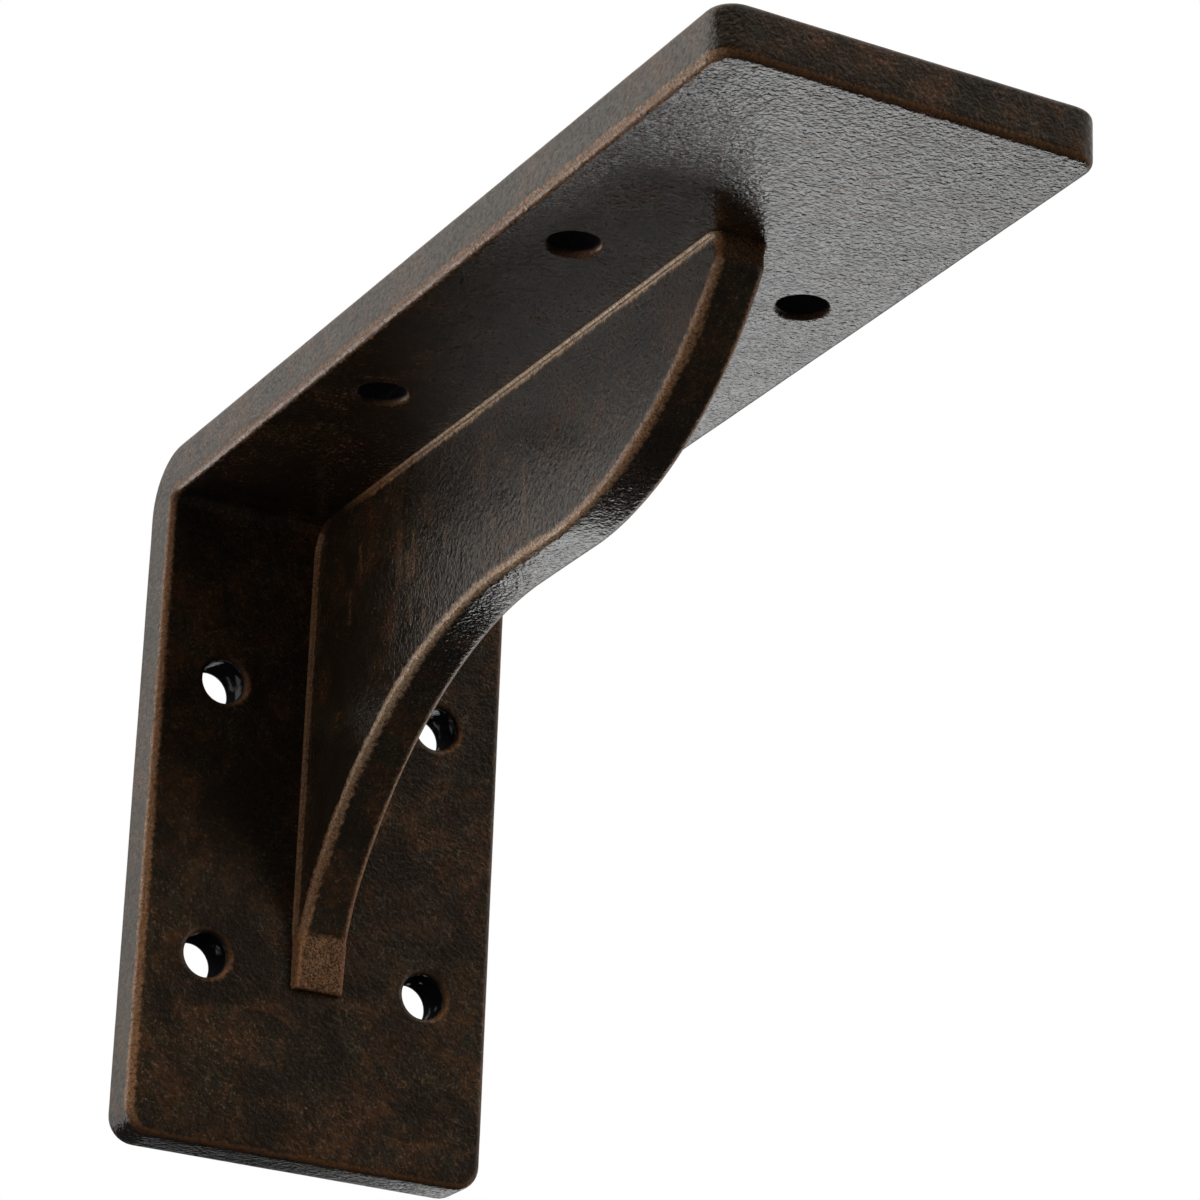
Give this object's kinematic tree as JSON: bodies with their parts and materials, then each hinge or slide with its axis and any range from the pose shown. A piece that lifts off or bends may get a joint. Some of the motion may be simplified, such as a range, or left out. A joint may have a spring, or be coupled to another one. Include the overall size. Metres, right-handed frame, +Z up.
{
  "type": "steel shelf bracket",
  "caption": "Right-angle steel bracket bent from flat bar, with an upright ogee web under the arm and screw holes in both legs.",
  "frame": {"origin": "on the back face of the wall leg, at the middle of its four screw holes", "axes": "+Y into the wall, the arm reaches along -Y, +Z up, +X across the bar"},
  "size_m": [0.051, 0.1524, 0.0952],
  "materials": {
    "bar_steel": "dark antique bronze coat with fine orange-peel texture, rubbed to copper brown along the edges",
    "web_steel": "dark antique bronze coat with fine orange-peel texture, rubbed to copper brown along the edges"
  },
  "bodies": {
    "root": {"bent_bar": "bar_steel", "web_plate": "web_steel"}
  },
  "joints": []
}
